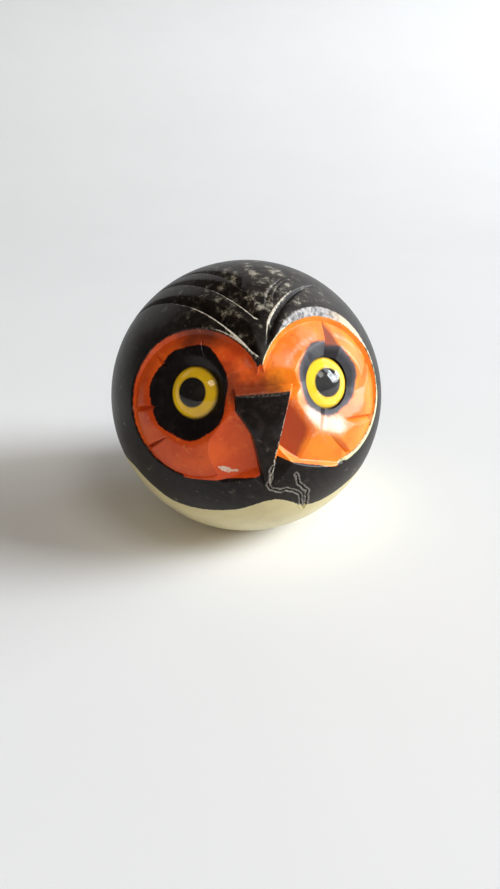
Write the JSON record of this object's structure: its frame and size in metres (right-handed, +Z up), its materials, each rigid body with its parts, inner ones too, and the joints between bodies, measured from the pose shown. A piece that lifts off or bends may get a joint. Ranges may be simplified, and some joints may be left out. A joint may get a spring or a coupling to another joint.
{
  "type": "owl figurine",
  "caption": "Ball-shaped carved stone owl with orange facial discs, dark dyed head, pale belly and domed glass eyes, resting on a small ground flat.",
  "frame": {"origin": "centre of the ground flat that the ball rests on", "axes": "+Z up through the ball's centre, -Y the way the owl's face looks, +X the owl's left-hand side, which is on the right when it is seen from the front"},
  "size_m": [0.072, 0.072, 0.0703],
  "materials": {
    "dyed_stone": "polished alabaster dyed brown-black, orange and left cream",
    "clear_glass": "clear polished glass dome",
    "yellow_glass": "opaque yellow glass",
    "black_glass": "opaque black glass",
    "wire": "annealed iron wire",
    "cement": "dark resin setting cement"
  },
  "bodies": {
    "root": {"stone_body": "dyed_stone", "left_glass_dome": "clear_glass", "left_iris_bead": "yellow_glass", "left_pupil": "black_glass", "left_wire_shank": "wire", "left_cement_bed": "cement", "right_glass_dome": "clear_glass", "right_iris_bead": "yellow_glass", "right_pupil": "black_glass", "right_wire_shank": "wire", "right_cement_bed": "cement"}
  },
  "joints": []
}
